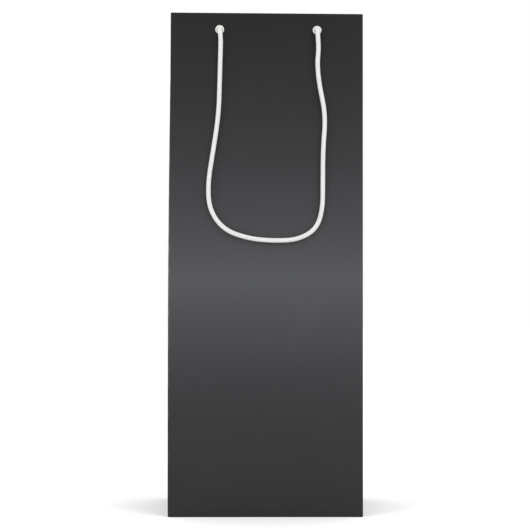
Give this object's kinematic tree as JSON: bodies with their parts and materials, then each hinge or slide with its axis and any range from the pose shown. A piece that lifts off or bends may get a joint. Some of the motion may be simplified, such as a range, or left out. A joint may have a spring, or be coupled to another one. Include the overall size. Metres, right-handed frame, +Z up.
{
  "type": "wine gift bag",
  "caption": "Tall narrow paper gift bag with inward-folding side gussets, stiffened mouth and base, metal eyelets and knotted cord handles that hang down the faces.",
  "frame": {"origin": "centre of the bottom, on the surface that the bag stands on", "axes": "+Z up towards the mouth, +X across the front face to its viewer's right, front face towards -Y"},
  "size_m": [0.127, 0.0892, 0.33],
  "materials": {
    "printed_paper": "satin film laminate",
    "card": "uncoated grey-white",
    "eyelet": "white lacquer",
    "cord": "white braided cord"
  },
  "bodies": {
    "bag": {"front_panel": "printed_paper", "rear_panel": "printed_paper", "left_gusset_front": "printed_paper", "left_gusset_rear": "printed_paper", "left_gusset_foot": "printed_paper", "right_gusset_front": "printed_paper", "right_gusset_rear": "printed_paper", "right_gusset_foot": "printed_paper", "seam_flap": "printed_paper", "front_hem": "printed_paper", "rear_hem": "printed_paper", "left_hem": "printed_paper", "right_hem": "printed_paper", "bottom_flap_front": "printed_paper", "bottom_flap_rear": "printed_paper", "bottom_flap_left": "printed_paper", "bottom_flap_right": "printed_paper", "front_top_board": "card", "rear_top_board": "card", "front_left_eyelet": "eyelet", "front_left_knot": "cord", "front_right_eyelet": "eyelet", "front_right_knot": "cord", "rear_left_eyelet": "eyelet", "rear_left_knot": "cord", "rear_right_eyelet": "eyelet", "rear_right_knot": "cord"},
    "base_card": {"base_card": "card"},
    "front_handle": {"front_handle_cord": "cord"},
    "rear_handle": {"rear_handle_cord": "cord"}
  },
  "joints": [
    {"name": "front_handle_swing", "type": "hinge", "parent": "bag", "child": "front_handle", "pos_m": [0, -0.04294, 0.31887], "axis": [-1, 0, 0], "range_deg": [0, 190]},
    {"name": "rear_handle_swing", "type": "hinge", "parent": "bag", "child": "rear_handle", "pos_m": [0, 0.04294, 0.31887], "axis": [1, 0, 0], "range_deg": [0, 190]},
    {"name": "base_card_lift", "type": "slide", "parent": "bag", "child": "base_card", "axis": [0, 0, 1], "range_m": [0, 0.008]}
  ]
}
